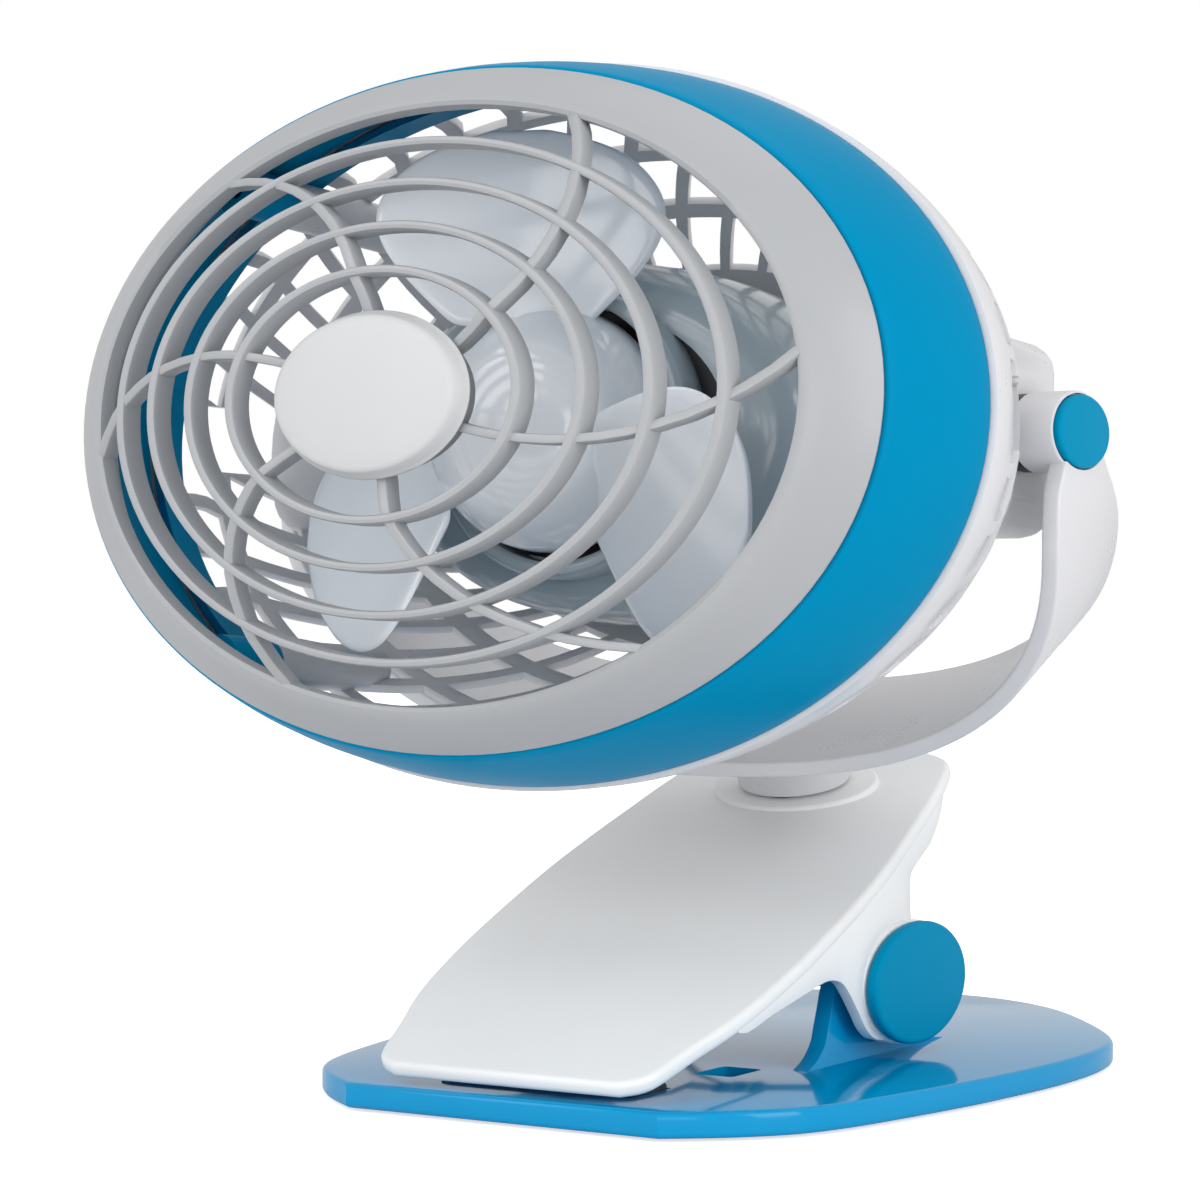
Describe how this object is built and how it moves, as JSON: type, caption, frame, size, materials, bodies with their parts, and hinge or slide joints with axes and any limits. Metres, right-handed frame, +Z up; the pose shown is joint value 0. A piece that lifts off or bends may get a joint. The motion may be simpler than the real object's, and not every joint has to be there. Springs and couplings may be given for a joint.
{
  "type": "clip fan",
  "caption": "Small oval-headed fan that tilts in a yoke and swivels on a spring clip, whose flat lower jaw also serves as a table stand",
  "frame": {"origin": "under the tilt axis on the plane of symmetry, level with the undersides of the rubber feet", "axes": "+Z up; -Y the way the fan blows and the clip's mouth faces; X along the tilt and hinge axes, mirror plane at X = 0"},
  "size_m": [0.2, 0.2416, 0.2068],
  "materials": {
    "grille": "satin pale grey moulded plastic",
    "white": "semi-gloss white moulded plastic",
    "blue": "glossy bright blue moulded plastic",
    "smoke": "glossy grey-green moulded plastic",
    "blade": "glossy pale blue-grey moulded plastic",
    "black": "satin black plastic",
    "rubber": "dull dark rubber",
    "steel": "plain zinc-plated steel",
    "brass": "plain brass",
    "copper": "enamelled copper winding"
  },
  "bodies": {
    "stand": {"lower_jaw": "blue", "lower_pad": "rubber", "foot_1": "rubber", "foot_2": "rubber", "foot_3": "rubber", "foot_4": "rubber"},
    "clip": {"upper_jaw": "white", "upper_pad": "rubber", "hinge_pin": "steel", "hinge_spring": "steel", "hinge_cap_right": "blue", "hinge_cap_left": "blue", "hinge_washer_right": "steel", "hinge_washer_left": "steel", "friction_ring": "black"},
    "bow": {"yoke": "white", "neck_washer": "steel", "neck_screw": "steel", "neck_nut": "steel", "tilt_screw_right": "steel", "tilt_screw_left": "steel", "tilt_cap_right": "blue", "tilt_cap_left": "blue"},
    "head": {"front_grille": "grille", "grille_cap": "white", "centre_band": "blue", "rear_shell": "white", "motor_pod": "smoke", "motor_mount": "black", "motor_can": "steel", "motor_end_cap": "black", "bearing_front": "brass", "bearing_rear": "brass", "switch_body": "black", "dc_socket": "black", "case_screw_1": "steel", "case_screw_2": "steel", "case_screw_3": "steel", "case_screw_4": "steel", "motor_screw_1": "steel", "motor_screw_2": "steel", "tilt_nut_right": "brass", "tilt_nut_left": "brass", "tilt_spacer_right": "black", "tilt_spacer_left": "black"},
    "rotor": {"fan_rotor": "blade", "motor_shaft": "steel", "armature": "copper"},
    "button": {"power_button": "blue"}
  },
  "joints": [
    {"name": "clip_hinge", "type": "hinge", "parent": "stand", "child": "clip", "pos_m": [0, 0.031, 0.0211], "axis": [-1, 0, 0], "range_deg": [0, 28], "stiffness_Nm_per_rad": 1.5, "springref_deg": -28.65},
    {"name": "swivel", "type": "hinge", "parent": "clip", "child": "bow", "pos_m": [0, 0.0481, 0.0776], "axis": [0, -0.4226, 0.9063], "range_deg": [-60, 60]},
    {"name": "head_tilt", "type": "hinge", "parent": "bow", "child": "head", "pos_m": [0, 0, 0.1342], "axis": [-1, 0, 0], "range_deg": [-20, 40]},
    {"name": "rotor_spin", "type": "hinge", "parent": "head", "child": "rotor", "pos_m": [0, 0, 0.1324], "axis": [0, -0.9981, 0.061], "continuous": true},
    {"name": "button_press", "type": "slide", "parent": "head", "child": "button", "axis": [0, -0.9981, 0.061], "range_m": [0, 0.0012], "stiffness_N_per_m": 900, "springref_m": -0.001}
  ]
}
